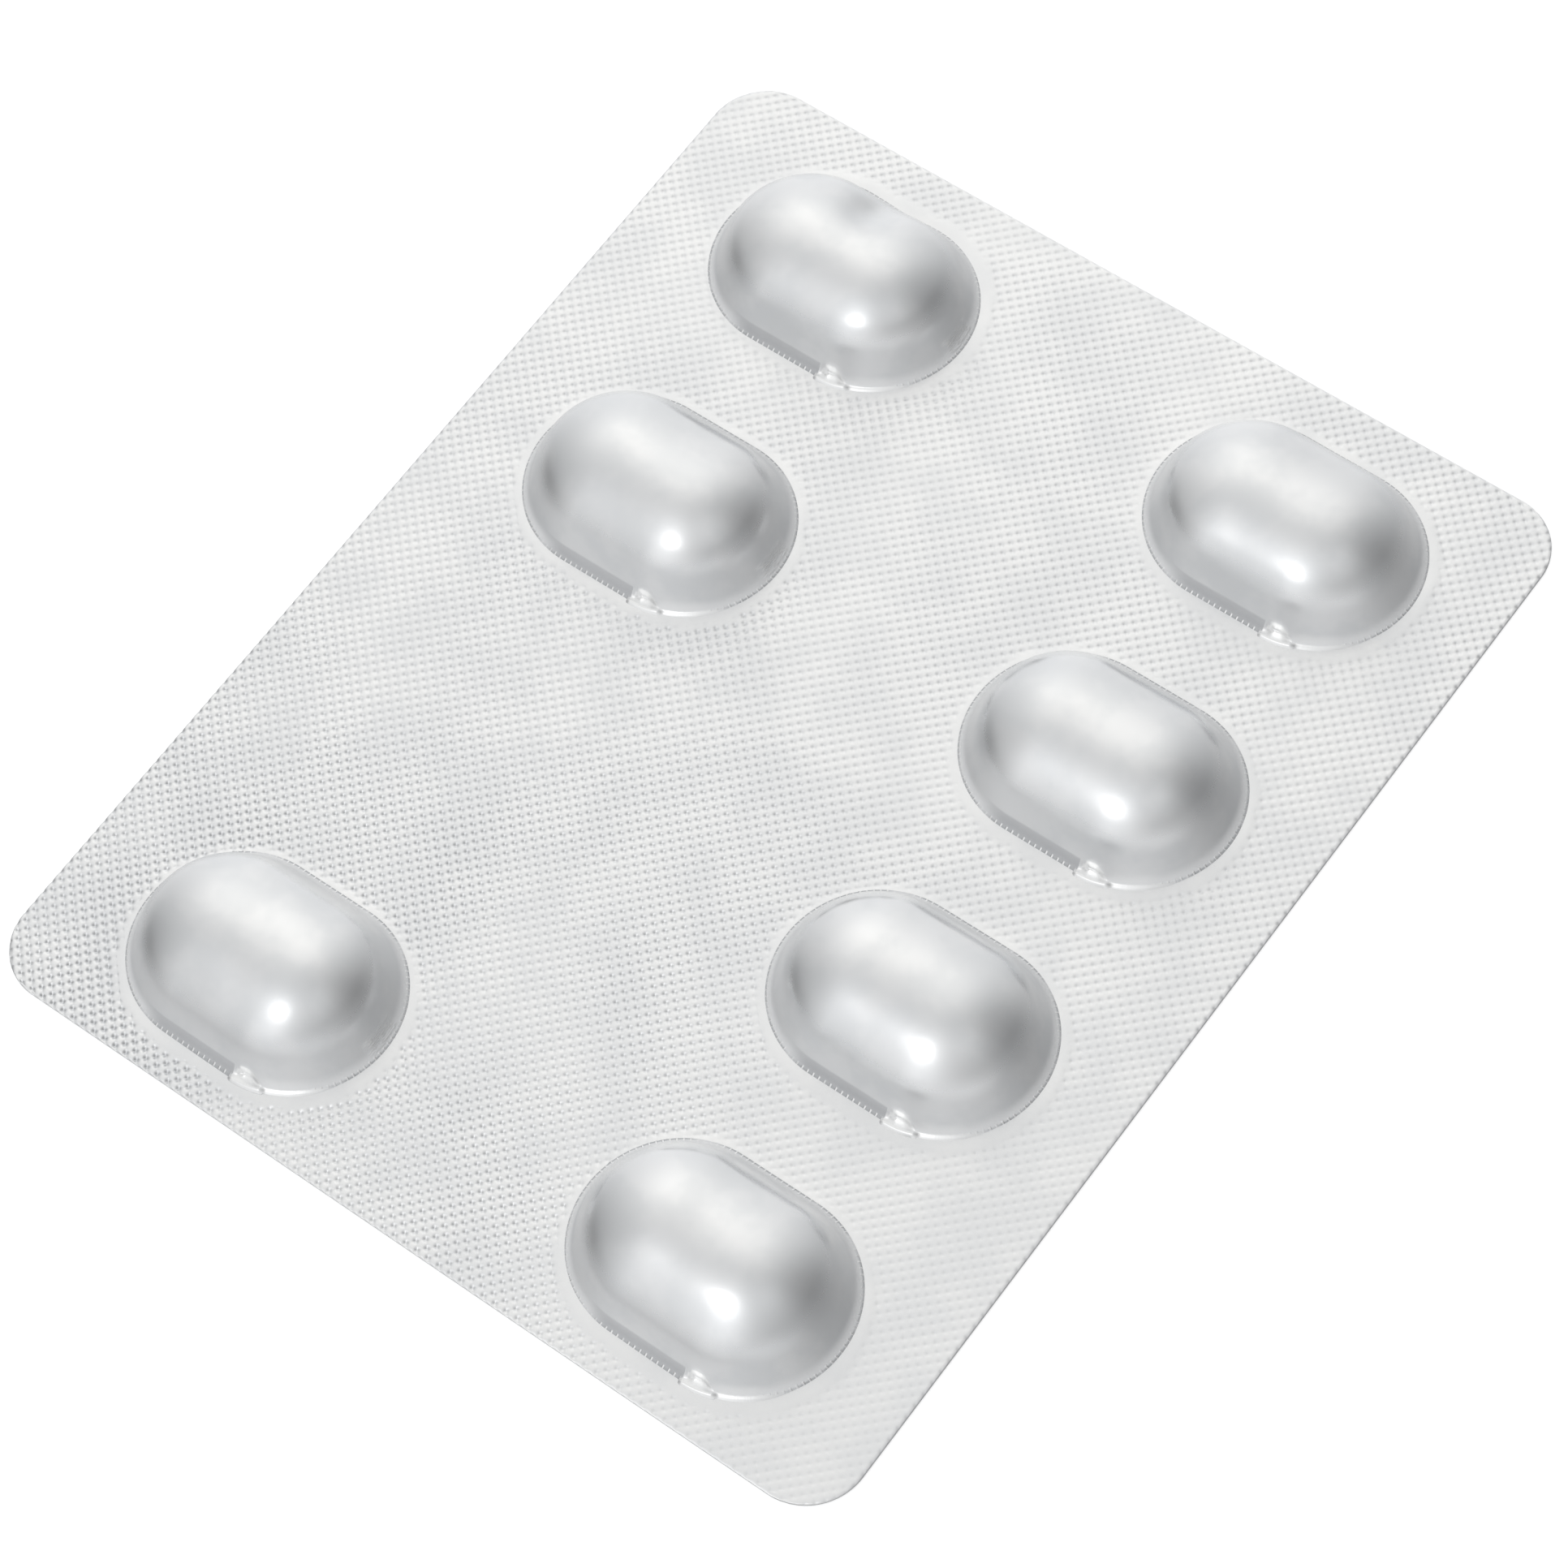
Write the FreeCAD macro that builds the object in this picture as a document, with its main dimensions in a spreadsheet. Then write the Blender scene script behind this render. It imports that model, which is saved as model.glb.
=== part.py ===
import FreeCAD, Part
import math
import os
import Sketcher

# A sealed card of tablets, cold-formed from aluminium laminate and closed with a flat aluminium foil.
# It can't be seen into, so the card is one solid: the sealed web with seven filled pockets on it.
# X runs across the card, Y along it and Z out of the domed side, and the flat back lies on Z = 0
# with the origin in its middle. Every size is in millimetres, and every angle in degrees.

# Driving dimensions: (alias, value, what it measures).
DIMENSIONS = [
    ("cardWidth", 78.0, "outside width of the card along X"),
    ("cardLength", 96.0, "outside length of the card along Y"),
    ("webThickness", 0.3, "sealed flange, over the embossing of both foils"),
    ("cornerRadius", 4.8, "rounded corner of the die-cut card"),
    ("sideMargin", 6.8, "from a long edge of the card to the pockets nearest it"),
    ("endMargin", 3.7, "from a short edge of the card to the pockets nearest it"),
    ("gridShiftAcross", 0.2, "all the pockets together sit this far along X from the middle"),
    ("gridShiftAlong", -0.5, "all the pockets together sit this far along Y from the middle"),
    ("pocketStraight", 6.5, "straight length between the round ends of a pocket"),
    ("footHalfWidth", 8.15, "half the width of a pocket at its foot crease"),
    ("pocketHeight", 5.8, "top of a pocket above the web"),
    ("flareWidth", 0.7, "how far the hollow foot flare reaches inward"),
    ("flareHeight", 1.05, "how far the foot flare climbs"),
    ("wallDraft", 21.0, "lean of the drawn wall from the vertical"),
    ("shoulderRadius", 3.2, "round between the wall and the crown"),
    ("crownSpare", 2.85, "the crown's radius is larger than the foot's half width by this much"),
    ("dentRadius", 8.0, "radius of the dent's scoop"),
    ("dentDepth", 0.45, "how deep the scoop goes in"),
    ("dentLean", 22.0, "lean of the pressed surface from the horizontal"),
    ("dentOut", 4.0, "from the pocket's long axis to the middle of the dent"),
    ("dentDrop", 0.75, "how far the crown has fallen there from its top"),
]

SHEET = "dims"
NODE = "blister_pack"
ROWS = 4
COLUMNS = 2
SIDES = {"left": -1, "right": 1}
BLANK_SEATS = {("left", 3)}  # this seat of the eight was never formed
DENTED_SEAT = ("left", 1)

# Sizes that follow from the driving ones, as expressions. The outermost pockets keep their margins,
# so the columns and rows spread with the card.
POCKET_WIDTH = f"2 * {SHEET}.footHalfWidth"
POCKET_LENGTH = f"({SHEET}.pocketStraight + {POCKET_WIDTH})"
COLUMN_PITCH = f"(({SHEET}.cardWidth - 2 * {SHEET}.sideMargin - {POCKET_LENGTH}) / {COLUMNS - 1})"
ROW_PITCH = f"(({SHEET}.cardLength - 2 * {SHEET}.endMargin - {POCKET_WIDTH}) / {ROWS - 1})"
CROWN_RADIUS = f"({SHEET}.footHalfWidth + {SHEET}.crownSpare)"


def addSheet(doc):
    sheet = doc.addObject("Spreadsheet::Sheet", SHEET)
    for row, (alias, value, note) in enumerate(DIMENSIONS, start=1):
        sheet.set(f"A{row}", alias)
        sheet.set(f"B{row}", str(value))
        sheet.setAlias(f"B{row}", alias)
        sheet.set(f"C{row}", note)
    doc.recompute()
    return sheet


def originPlane(body, role):
    return next(plane for plane in body.Origin.OriginFeatures if plane.Role == role)


def newSketch(body, name, plane):
    sketch = body.newObject("Sketcher::SketchObject", name)
    sketch.AttachmentSupport = [(originPlane(body, plane), "")]
    sketch.MapMode = "FlatFace"
    return sketch


def bind(sketch, kind, where, value, name, expression):
    """Adds one dimension to a sketch, starting at value and driven by the expression."""
    index = sketch.addConstraint(Sketcher.Constraint(kind, *where, value))
    sketch.renameConstraint(index, name)
    sketch.setExpression(f"Constraints.{name}", expression)


def addWeb(body, sheet):
    """The flat flange: a rectangle about the origin, padded up from the back, with rounded corners."""
    halfWidth = sheet.cardWidth / 2
    halfLength = sheet.cardLength / 2
    corners = [
        FreeCAD.Vector(-halfWidth, -halfLength, 0),
        FreeCAD.Vector(halfWidth, -halfLength, 0),
        FreeCAD.Vector(halfWidth, halfLength, 0),
        FreeCAD.Vector(-halfWidth, halfLength, 0),
    ]
    sketch = newSketch(body, "web_outline", "XY_Plane")
    for index, corner in enumerate(corners):
        sketch.addGeometry(Part.LineSegment(corner, corners[(index + 1) % 4]), False)
    for index in range(4):
        sketch.addConstraint(Sketcher.Constraint("Coincident", index, 2, (index + 1) % 4, 1))
    for index, direction in enumerate(("Horizontal", "Vertical", "Horizontal", "Vertical")):
        sketch.addConstraint(Sketcher.Constraint(direction, index))
    sketch.addConstraint(Sketcher.Constraint("Symmetric", 0, 1, 2, 1, -1, 1))
    bind(sketch, "DistanceX", (0, 1, 0, 2), sheet.cardWidth, "width", f"{SHEET}.cardWidth")
    bind(sketch, "DistanceY", (1, 1, 1, 2), sheet.cardLength, "length", f"{SHEET}.cardLength")

    web = body.newObject("PartDesign::Pad", "web")
    web.Profile = sketch
    web.setExpression("Length", f"{SHEET}.webThickness")
    body.Document.recompute()

    upright = [
        f"Edge{number}"
        for number, edge in enumerate(web.Shape.Edges, start=1)
        if abs(edge.tangentAt(edge.FirstParameter).z) > 0.99
    ]
    rounded = body.newObject("PartDesign::Fillet", "web_corners")
    rounded.Base = (web, upright)
    rounded.setExpression("Radius", f"{SHEET}.cornerRadius")
    body.Document.recompute()


def sectionPoints(sheet):
    """Where the arcs of a pocket's half section meet, as (distance out from the axis, height).

    The wall starts at the top of the flare and leans in by the draft. The shoulder arc touches the
    wall and, from inside, the crown arc, so its centre lies where both distances are right.
    """
    draft = math.radians(sheet.wallDraft)
    along = (-math.sin(draft), math.cos(draft))  # up the wall
    outward = (math.cos(draft), math.sin(draft))  # square to the wall, away from the pocket
    flareTop = (sheet.footHalfWidth - sheet.flareWidth, sheet.flareHeight)

    chord = (-sheet.flareWidth, sheet.flareHeight)
    reach = chord[0] * outward[0] + chord[1] * outward[1]
    flareRadius = -(chord[0] ** 2 + chord[1] ** 2) / (2 * reach)
    flareCentre = (flareTop[0] + flareRadius * outward[0], flareTop[1] + flareRadius * outward[1])

    crownRadius = sheet.footHalfWidth + sheet.crownSpare
    crownCentre = (0.0, sheet.pocketHeight - crownRadius)
    start = (
        flareTop[0] - sheet.shoulderRadius * outward[0] - crownCentre[0],
        flareTop[1] - sheet.shoulderRadius * outward[1] - crownCentre[1],
    )
    half = start[0] * along[0] + start[1] * along[1]
    gap = crownRadius - sheet.shoulderRadius
    wallLength = -half + math.sqrt(half**2 - start[0] ** 2 - start[1] ** 2 + gap**2)
    shoulderCentre = (
        crownCentre[0] + start[0] + wallLength * along[0],
        crownCentre[1] + start[1] + wallLength * along[1],
    )
    return flareTop, flareRadius, flareCentre, shoulderCentre, crownRadius, crownCentre


def arcBetween(centre, radius, first, last):
    """An arc about a centre, anticlockwise from the first angle to the last, in radians."""
    circle = Part.Circle(FreeCAD.Vector(*centre, 0), FreeCAD.Vector(0, 0, 1), radius)
    return Part.ArcOfCircle(circle, first, last)


def angleFrom(centre, point):
    return math.atan2(point[1] - centre[1], point[0] - centre[0])


def addHalfSection(body, sheet, name, turn, acrossCard, alongCard):
    """Half of a pocket's section: base, foot flare, wall, shoulder, crown and the upright axis.

    The sketch stands on the web with its axis over the point given by the two expressions, and
    faces +X when turn is 0, +Y when it is -90, and so on, in degrees about the upright.
    """
    sketch = newSketch(body, name, "XZ_Plane")
    sketch.AttachmentOffset = FreeCAD.Placement(
        FreeCAD.Vector(0, 0, 0), FreeCAD.Rotation(FreeCAD.Vector(0, 1, 0), turn)
    )
    sketch.setExpression("AttachmentOffset.Base.x", acrossCard)
    sketch.setExpression("AttachmentOffset.Base.y", f"{SHEET}.webThickness")
    sketch.setExpression("AttachmentOffset.Base.z", f"-({alongCard})")

    flareTop, flareRadius, flareCentre, shoulderCentre, crownRadius, crownCentre = sectionPoints(sheet)
    draft = math.radians(sheet.wallDraft)
    foot = (sheet.footHalfWidth, 0.0)
    wallTop = (
        shoulderCentre[0] + sheet.shoulderRadius * math.cos(draft),
        shoulderCentre[1] + sheet.shoulderRadius * math.sin(draft),
    )
    crownTop = (0.0, sheet.pocketHeight)
    meet = angleFrom(crownCentre, shoulderCentre)
    base, flare, wall, shoulder, crown, axis = range(6)
    sketch.addGeometry(
        [
            Part.LineSegment(FreeCAD.Vector(0, 0, 0), FreeCAD.Vector(*foot, 0)),
            arcBetween(
                flareCentre,
                flareRadius,
                angleFrom(flareCentre, flareTop),
                angleFrom(flareCentre, foot),
            ),
            Part.LineSegment(FreeCAD.Vector(*flareTop, 0), FreeCAD.Vector(*wallTop, 0)),
            arcBetween(shoulderCentre, sheet.shoulderRadius, draft, meet),
            arcBetween(crownCentre, crownRadius, meet, math.pi / 2),
            Part.LineSegment(FreeCAD.Vector(*crownTop, 0), FreeCAD.Vector(0, 0, 0)),
        ],
        False,
    )
    originPoint, acrossAxis, uprightAxis = (-1, 1), -1, -2
    for constraint in [
        Sketcher.Constraint("Coincident", base, 1, *originPoint),
        Sketcher.Constraint("Coincident", axis, 2, *originPoint),
        Sketcher.Constraint("PointOnObject", base, 2, acrossAxis),
        Sketcher.Constraint("Coincident", base, 2, flare, 2),
        Sketcher.Constraint("Tangent", flare, 1, wall, 1),
        Sketcher.Constraint("Tangent", wall, 2, shoulder, 1),
        Sketcher.Constraint("Tangent", shoulder, 2, crown, 1),
        Sketcher.Constraint("Coincident", crown, 2, axis, 1),
        Sketcher.Constraint("PointOnObject", crown, 2, uprightAxis),
        Sketcher.Constraint("PointOnObject", crown, 3, uprightAxis),
    ]:
        sketch.addConstraint(constraint)
    for kind, where, value, alias in [
        ("DistanceX", (base, 1, base, 2), sheet.footHalfWidth, "footHalfWidth"),
        ("DistanceX", (wall, 1, base, 2), sheet.flareWidth, "flareWidth"),
        ("DistanceY", (base, 2, wall, 1), sheet.flareHeight, "flareHeight"),
        ("DistanceY", (*originPoint, crown, 2), sheet.pocketHeight, "pocketHeight"),
        ("Radius", (shoulder,), sheet.shoulderRadius, "shoulderRadius"),
    ]:
        bind(sketch, kind, where, value, alias, f"{SHEET}.{alias}")
    bind(sketch, "Radius", (crown,), crownRadius, "crownRadius", CROWN_RADIUS)
    bind(sketch, "Angle", (wall,), math.pi / 2 + draft, "lean", f"90 deg + {SHEET}.wallDraft * 1 deg")
    return sketch


def seatExpressions(side, row):
    """Where the middle of a seat is, as expressions. Row 1 is the one furthest along +Y."""
    across = f"{SIDES[side]} * {COLUMN_PITCH} / 2 + {SHEET}.gridShiftAcross"
    along = f"{(ROWS + 1) / 2 - row} * {ROW_PITCH} + {SHEET}.gridShiftAlong"
    return across, along


def addPocket(body, sheet, side, row):
    """One filled pocket: half sections padded along the straight, and turned about each round end."""
    across, along = seatExpressions(side, row)
    name = f"pocket_{side}_{row}"
    for face, turn in (("upper", -90), ("lower", 90)):
        straight = body.newObject("PartDesign::Pad", f"{name}_{face}")
        straight.Profile = addHalfSection(body, sheet, f"{name}_{face}_section", turn, across, along)
        straight.SideType = "Symmetric"
        straight.setExpression("Length", f"{SHEET}.pocketStraight")
        body.Document.recompute()
    for face, turn, sign in (("end_right", 0, "+"), ("end_left", 180, "-")):
        endMiddle = f"{across} {sign} {SHEET}.pocketStraight / 2"
        section = addHalfSection(body, sheet, f"{name}_{face}_section", turn, endMiddle, along)
        end = body.newObject("PartDesign::Revolution", f"{name}_{face}")
        end.Profile = section
        end.ReferenceAxis = (section, ["V_Axis"])
        end.Midplane = True
        end.Angle = 180
        body.Document.recompute()


def addDent(body, side, row):
    """A thumb dent in the crown on the +Y side of one pocket: a shallow scoop cut by a large sphere.

    The sphere's centre stands off the pressed point, square to the leaning surface, by its radius
    less the depth of the dent.
    """
    across, along = seatExpressions(side, row)
    dent = body.newObject("PartDesign::SubtractiveSphere", f"dent_{side}_{row}")
    dent.AttachmentSupport = [(originPlane(body, "XY_Plane"), "")]
    dent.MapMode = "FlatFace"
    dent.setExpression("Radius", f"{SHEET}.dentRadius")
    standOff = f"({SHEET}.dentRadius - {SHEET}.dentDepth)"
    lean = f"({SHEET}.dentLean * 1 deg)"
    surface = f"{SHEET}.webThickness + {SHEET}.pocketHeight - {SHEET}.dentDrop"
    dent.setExpression("AttachmentOffset.Base.x", across)
    dent.setExpression("AttachmentOffset.Base.y", f"{along} + {SHEET}.dentOut + {standOff} * sin{lean}")
    dent.setExpression("AttachmentOffset.Base.z", f"{surface} + {standOff} * cos{lean}")
    body.Document.recompute()


def makeDocument():
    doc = FreeCAD.newDocument("pill_card")
    sheet = addSheet(doc)
    body = doc.addObject("PartDesign::Body", "card_body")
    body.Label = NODE
    addWeb(body, sheet)
    for side in SIDES:
        for row in range(1, ROWS + 1):
            if (side, row) not in BLANK_SEATS:
                addPocket(body, sheet, side, row)
    addDent(body, *DENTED_SEAT)
    doc.recompute()
    return doc, body


def checkDocument(doc, body):
    for item in doc.Objects:
        if any(word in item.State for word in ("Invalid", "Error")):
            raise RuntimeError(f"{item.Name} failed: {item.State}")
    if body.Shape.isNull() or not body.Shape.isValid():
        raise RuntimeError(f"{body.Label} has no valid shape")
    if len(body.Shape.Solids) != 1:
        raise RuntimeError(f"{body.Label} came out as {len(body.Shape.Solids)} solids")


doc, body = makeDocument()
checkDocument(doc, body)
os.makedirs("parts", exist_ok=True)
body.Shape.exportStep(f"parts/{body.Label}.step")
box = body.Shape.BoundBox
print(f"{body.Label}: {box.XLength:.2f} x {box.YLength:.2f} x {box.ZLength:.2f} mm")
print(f"volume {body.Shape.Volume:.1f} mm3, {len(body.Shape.Faces)} faces")
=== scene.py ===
import math

import bmesh
import bpy
import numpy as np
from mathutils import Matrix, Vector


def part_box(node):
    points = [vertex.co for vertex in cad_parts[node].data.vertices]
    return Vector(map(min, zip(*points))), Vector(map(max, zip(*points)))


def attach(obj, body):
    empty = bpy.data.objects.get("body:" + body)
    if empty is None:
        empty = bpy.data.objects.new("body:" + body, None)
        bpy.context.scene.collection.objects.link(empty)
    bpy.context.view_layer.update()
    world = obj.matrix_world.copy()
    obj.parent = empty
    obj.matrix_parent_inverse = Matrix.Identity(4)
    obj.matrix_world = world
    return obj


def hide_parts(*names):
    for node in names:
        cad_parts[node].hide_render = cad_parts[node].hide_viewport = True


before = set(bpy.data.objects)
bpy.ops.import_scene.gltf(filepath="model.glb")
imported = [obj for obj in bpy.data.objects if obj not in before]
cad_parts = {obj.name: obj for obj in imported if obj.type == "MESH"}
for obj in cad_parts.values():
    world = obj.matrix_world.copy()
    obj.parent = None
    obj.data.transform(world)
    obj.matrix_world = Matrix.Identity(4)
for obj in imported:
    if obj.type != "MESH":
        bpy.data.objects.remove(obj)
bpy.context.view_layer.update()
mm = 0.001
cardLow, cardHigh = (np.array(corner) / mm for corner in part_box("blister_pack"))
print("frame loaded, card", np.round(cardHigh - cardLow, 2), "mm")

# Lengths in the dictionaries are millimetres in the card's own frame, and angles are degrees.
card = {
    "halfWidth": (cardHigh[0] - cardLow[0]) / 2,
    "halfLength": (cardHigh[1] - cardLow[1]) / 2,
    "cornerRadius": 4.8,
    "cornerEase": 3.0,      # how far inside a corner the grid starts to draw together
    "webLevel": 0.26,       # mean height of the sealed face
    "lidTop": 0.08,         # where the web lies on the lidding
    "lidLevel": 0.03,       # mean height of the lidding's underside
    "edgeDrop": 0.04,       # the die pulls the cut edge down by this much
    "edgeWidth": 0.1,
    "sideLines": [0, 0.07],     # close grid lines beside each long edge
    "endLines": [0, 0.012, 0.05, 0.12],     # and beside each short one
    "swell": 0.035,         # slow unevenness of the flat card, and how long its waves are
    "swellLength": 34,
    "swellFade": 12,        # it dies out this near to the edge
    "ripple": 0.006,
    "rippleLength": 9,
    "lidSwell": 0.3,        # the lidding's share of the unevenness
}

seal = {
    "ringWidth": 0.62,      # smooth, unsealed ring left round each pocket
    "ringRise": 0.025,
    "ringEdge": (0.2, -0.25),       # where its outer edge rises
    "knurlEdge": (-0.1, 0.35),      # where the knurl fades in outside it
    "knurlRagged": 0.12,            # how unevenly it does, and over what length
    "raggedLength": 2.5,
    "pitch": 0.725,         # knurl, between neighbouring lines
    "depth": 0.085,
    "lidDepth": 0.03,
    "sharpness": 2.4,       # higher makes narrower pits and broader land
    "stepsPerPitch": 4,
    "hiddenAcross": 8.4,    # half sides of the plain rectangle under each pocket
    "hiddenAlong": 6.0,
}
dotPitch = seal["pitch"] * math.sqrt(2)

webTop = 0.3        # of the CAD card
easedOff = 0.22     # what easing the section takes off the crown

pocket = {
    "columnPitch": 41.6,
    "rowPitch": 24.1,
    "shiftAcross": 0.2,
    "shiftAlong": -0.5,
    "straight": 6.5,
    "footHalfWidth": 8.15,
    "height": cardHigh[2] - webTop + easedOff,
    "flareWidth": 0.7,
    "flareHeight": 1.05,
    "wallDraft": 21.0,
    "shoulderRadius": 3.2,
    "crownRadius": 11.0,
    "soften": 0.5,          # how far the section's bends are eased into each other
    "blend": 1.0,           # how softly the straight of the crown runs into its round ends
    "footFillet": 0.33,     # how far the wall's flare runs out flat towards the foot
    "overlap": 0.8,         # how far a pocket's foil goes on past its foot, under the web
    "overlapFall": 0.6,
    "unevenness": 0.012,    # of the wall and crown, and how long its waves are
    "unevenLength": 6.5,
    "unevenReach": (8, 6),  # distances from the middle line over which it sets in
    "crownReach": (6.6, 3.6),
    "aroundEnd": 128,       # steps round each end
    "alongStraight": 32,    # steps along each straight
    "sectionSteps": 62,
    "crowding": 1.15,       # above one, the section's points crowd towards the foot
}

dentShape = {
    "across": 0.1,          # its middle, from the pocket's middle
    "along": 4.8,
    "halfAcross": 1.8,
    "halfAlong": 2.1,
}

# The little flat nicked into each foot, and the raised lip that runs on from it round the end.
foldShape = {
    "width": 0.9,
    "height": 0.2,
    "tilt": 0.1,
    "begin": (3.0, 3.9),    # across the pocket, where it opens and where it closes
    "end": (6.4, 4.4),
    "innerEdge": (-0.05, 0.12),     # its inner edge eases in across its own line, and its outer
    "outerEdge": (0.4, 0.15),       # edge out beyond the foot
    "shallowest": (0.05, 0.2),      # the shares of its full depth between which it fades out
    "lipHeight": 0.09,
    "lipWidth": 0.17,
    "lipOff": 0.02,         # its top lies this far out, and its rubbed, painted highlight this far in
    "lipBegin": (0.1, 0.4), # cosines of the angle from +X round the end
    "lipEnd": (0.9, 0.6),
    "sheen": 0.25,          # a fainter rubbed zone above the lip, painted as a sheen
    "sheenUp": 0.5,
    "sheenWidth": 0.4,
}

# Every filled seat: column, row from the +Y end, how far its ring sits off the pocket's middle across
# and along the card, and the depth of the dent pressed into its crown.
seats = [
    (-1, 1, 0.30, 0.30, 0.75),
    (1, 1, 0.30, -0.20, 0.0),
    (-1, 2, 0.15, -0.20, 0.0),
    (1, 2, 0.25, -0.25, 0.0),
    (1, 3, 0.30, -0.35, 0.0),
    (-1, 4, 0.30, -0.35, 0.0),
    (1, 4, 0.35, -0.35, 0.0),
]


def seatMiddle(column, row):
    across = column * pocket["columnPitch"] / 2 + pocket["shiftAcross"]
    along = (2.5 - row) * pocket["rowPitch"] + pocket["shiftAlong"]
    return across, along


def smoothStep(low, high, value):
    share = np.clip((value - low) / (high - low), 0, 1)
    return share * share * (3 - 2 * share)


def hump(value, middle, width):
    # A bell curve of height one.
    return np.exp(-(((value - middle) / width) ** 2))


def wander(x, y, waveLength, seed, waves=9):
    # Sum of plane waves in scattered directions and phases, scaled to about plus or minus one.
    rng = np.random.default_rng(seed)
    total = np.zeros_like(x, dtype=float)
    for wave in range(waves):
        turn = rng.uniform(0, 2 * math.pi)
        phase = rng.uniform(0, 2 * math.pi)
        length = waveLength * rng.uniform(0.7, 1.6)
        total += np.sin((x * math.cos(turn) + y * math.sin(turn)) * 2 * math.pi / length + phase)
    return total / math.sqrt(waves)


def stadiumDistance(x, y, middle, grow):
    # Distance to a pocket's foot outline moved outward by grow: the distance from the middle line
    # of the pocket, less its half width and grow. Negative inside.
    beside = np.maximum(np.abs(x - middle[0]) - pocket["straight"] / 2, 0)
    return np.hypot(beside, y - middle[1]) - pocket["footHalfWidth"] - grow


def ringDistance(x, y):
    # Distance to the nearest unsealed ring's outer line, negative inside it.
    nearest = np.full(np.shape(x), 1e3)
    for column, row, offX, offY, dent in seats:
        middle = seatMiddle(column, row)
        moved = (middle[0] + offX, middle[1] + offY)
        nearest = np.minimum(nearest, stadiumDistance(x, y, moved, seal["ringWidth"]))
    return nearest


def webSwell(x, y):
    # Slow unevenness of the flat card: two layers of long waves, in millimetres.
    slow = card["swell"] * wander(x, y, card["swellLength"], 3)
    return slow + card["ripple"] * wander(x, y, card["rippleLength"], 4)


def meshObject(name, points, faces):
    mesh = bpy.data.meshes.new(name)
    mesh.from_pydata((points * mm).tolist(), [], faces)
    mesh.shade_smooth()
    made = bpy.data.objects.new(name, mesh)
    bpy.context.scene.collection.objects.link(made)
    return made


def gridLines(half, step, edges):
    # Lines at whole steps out from the middle, and close lines beside each edge. Also the number of
    # the middle line.
    count = int((half - max(edges) - 0.4 * step) / step)
    inner = np.arange(-count, count + 1) * step
    outer = half - np.array(edges)
    lines = np.unique(np.concatenate([-outer, inner, outer]))
    return lines, int(np.argmin(np.abs(lines)))


def outlineGrid(step):
    # A rectangular grid whose columns draw together in the corners, so that its border is the
    # card's outline: at each height the last stretch of a row is scaled to end on the corner arc.
    xs, middleColumn = gridLines(card["halfWidth"], step, card["sideLines"])
    ys, middleRow = gridLines(card["halfLength"], step, card["endLines"])
    x, y = np.meshgrid(xs, ys)
    radius = card["cornerRadius"]
    into = np.clip(np.abs(y) - (card["halfLength"] - radius), 0, radius)
    end = card["halfWidth"] - radius + np.sqrt(radius**2 - into**2)
    start = card["halfWidth"] - radius - card["cornerEase"]
    drawn = start + (np.abs(x) - start) * (end - start) / (radius + card["cornerEase"])
    return np.where(np.abs(x) > start, np.sign(x) * drawn, x), y, xs, ys, middleColumn + middleRow


plate = {
    "pressure": 0.4,            # at the far end, as a share of the knurl's full depth
    "nearer": 0.1,              # how much more towards the near end, and where it sets in
    "nearerAlong": (30, -5),
    "corner": 0.6,              # how much more in the near left corner
    "cornerAlong": (10, -40),
    "cornerAcross": (25, -35),
    "side": 0.33,               # how much less down the right side
    "sideAlong": (35, -25),
    "sideAcross": (5, 30),
}


def platePressure(x, y):
    # The sealing plate bears hardest at the near left corner and least along the right side: its plain
    # pressure, plus or less three eased ramps.
    corner = smoothStep(*plate["cornerAlong"], y) * smoothStep(*plate["cornerAcross"], x)
    side = smoothStep(*plate["sideAcross"], x) * smoothStep(*plate["sideAlong"], y)
    nearer = smoothStep(*plate["nearerAlong"], y)
    return plate["pressure"] + plate["nearer"] * nearer + plate["corner"] * corner - plate["side"] * side


def knurl(x, y):
    # Pits at the crossings of a square net turned 45 degrees: the product of two cosines, raised to
    # a power that keeps the pits narrow and the land between them broad.
    wave = np.cos(2 * math.pi * x / dotPitch) * np.cos(2 * math.pi * y / dotPitch)
    return -(((1 + wave) / 2) ** seal["sharpness"])


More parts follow.
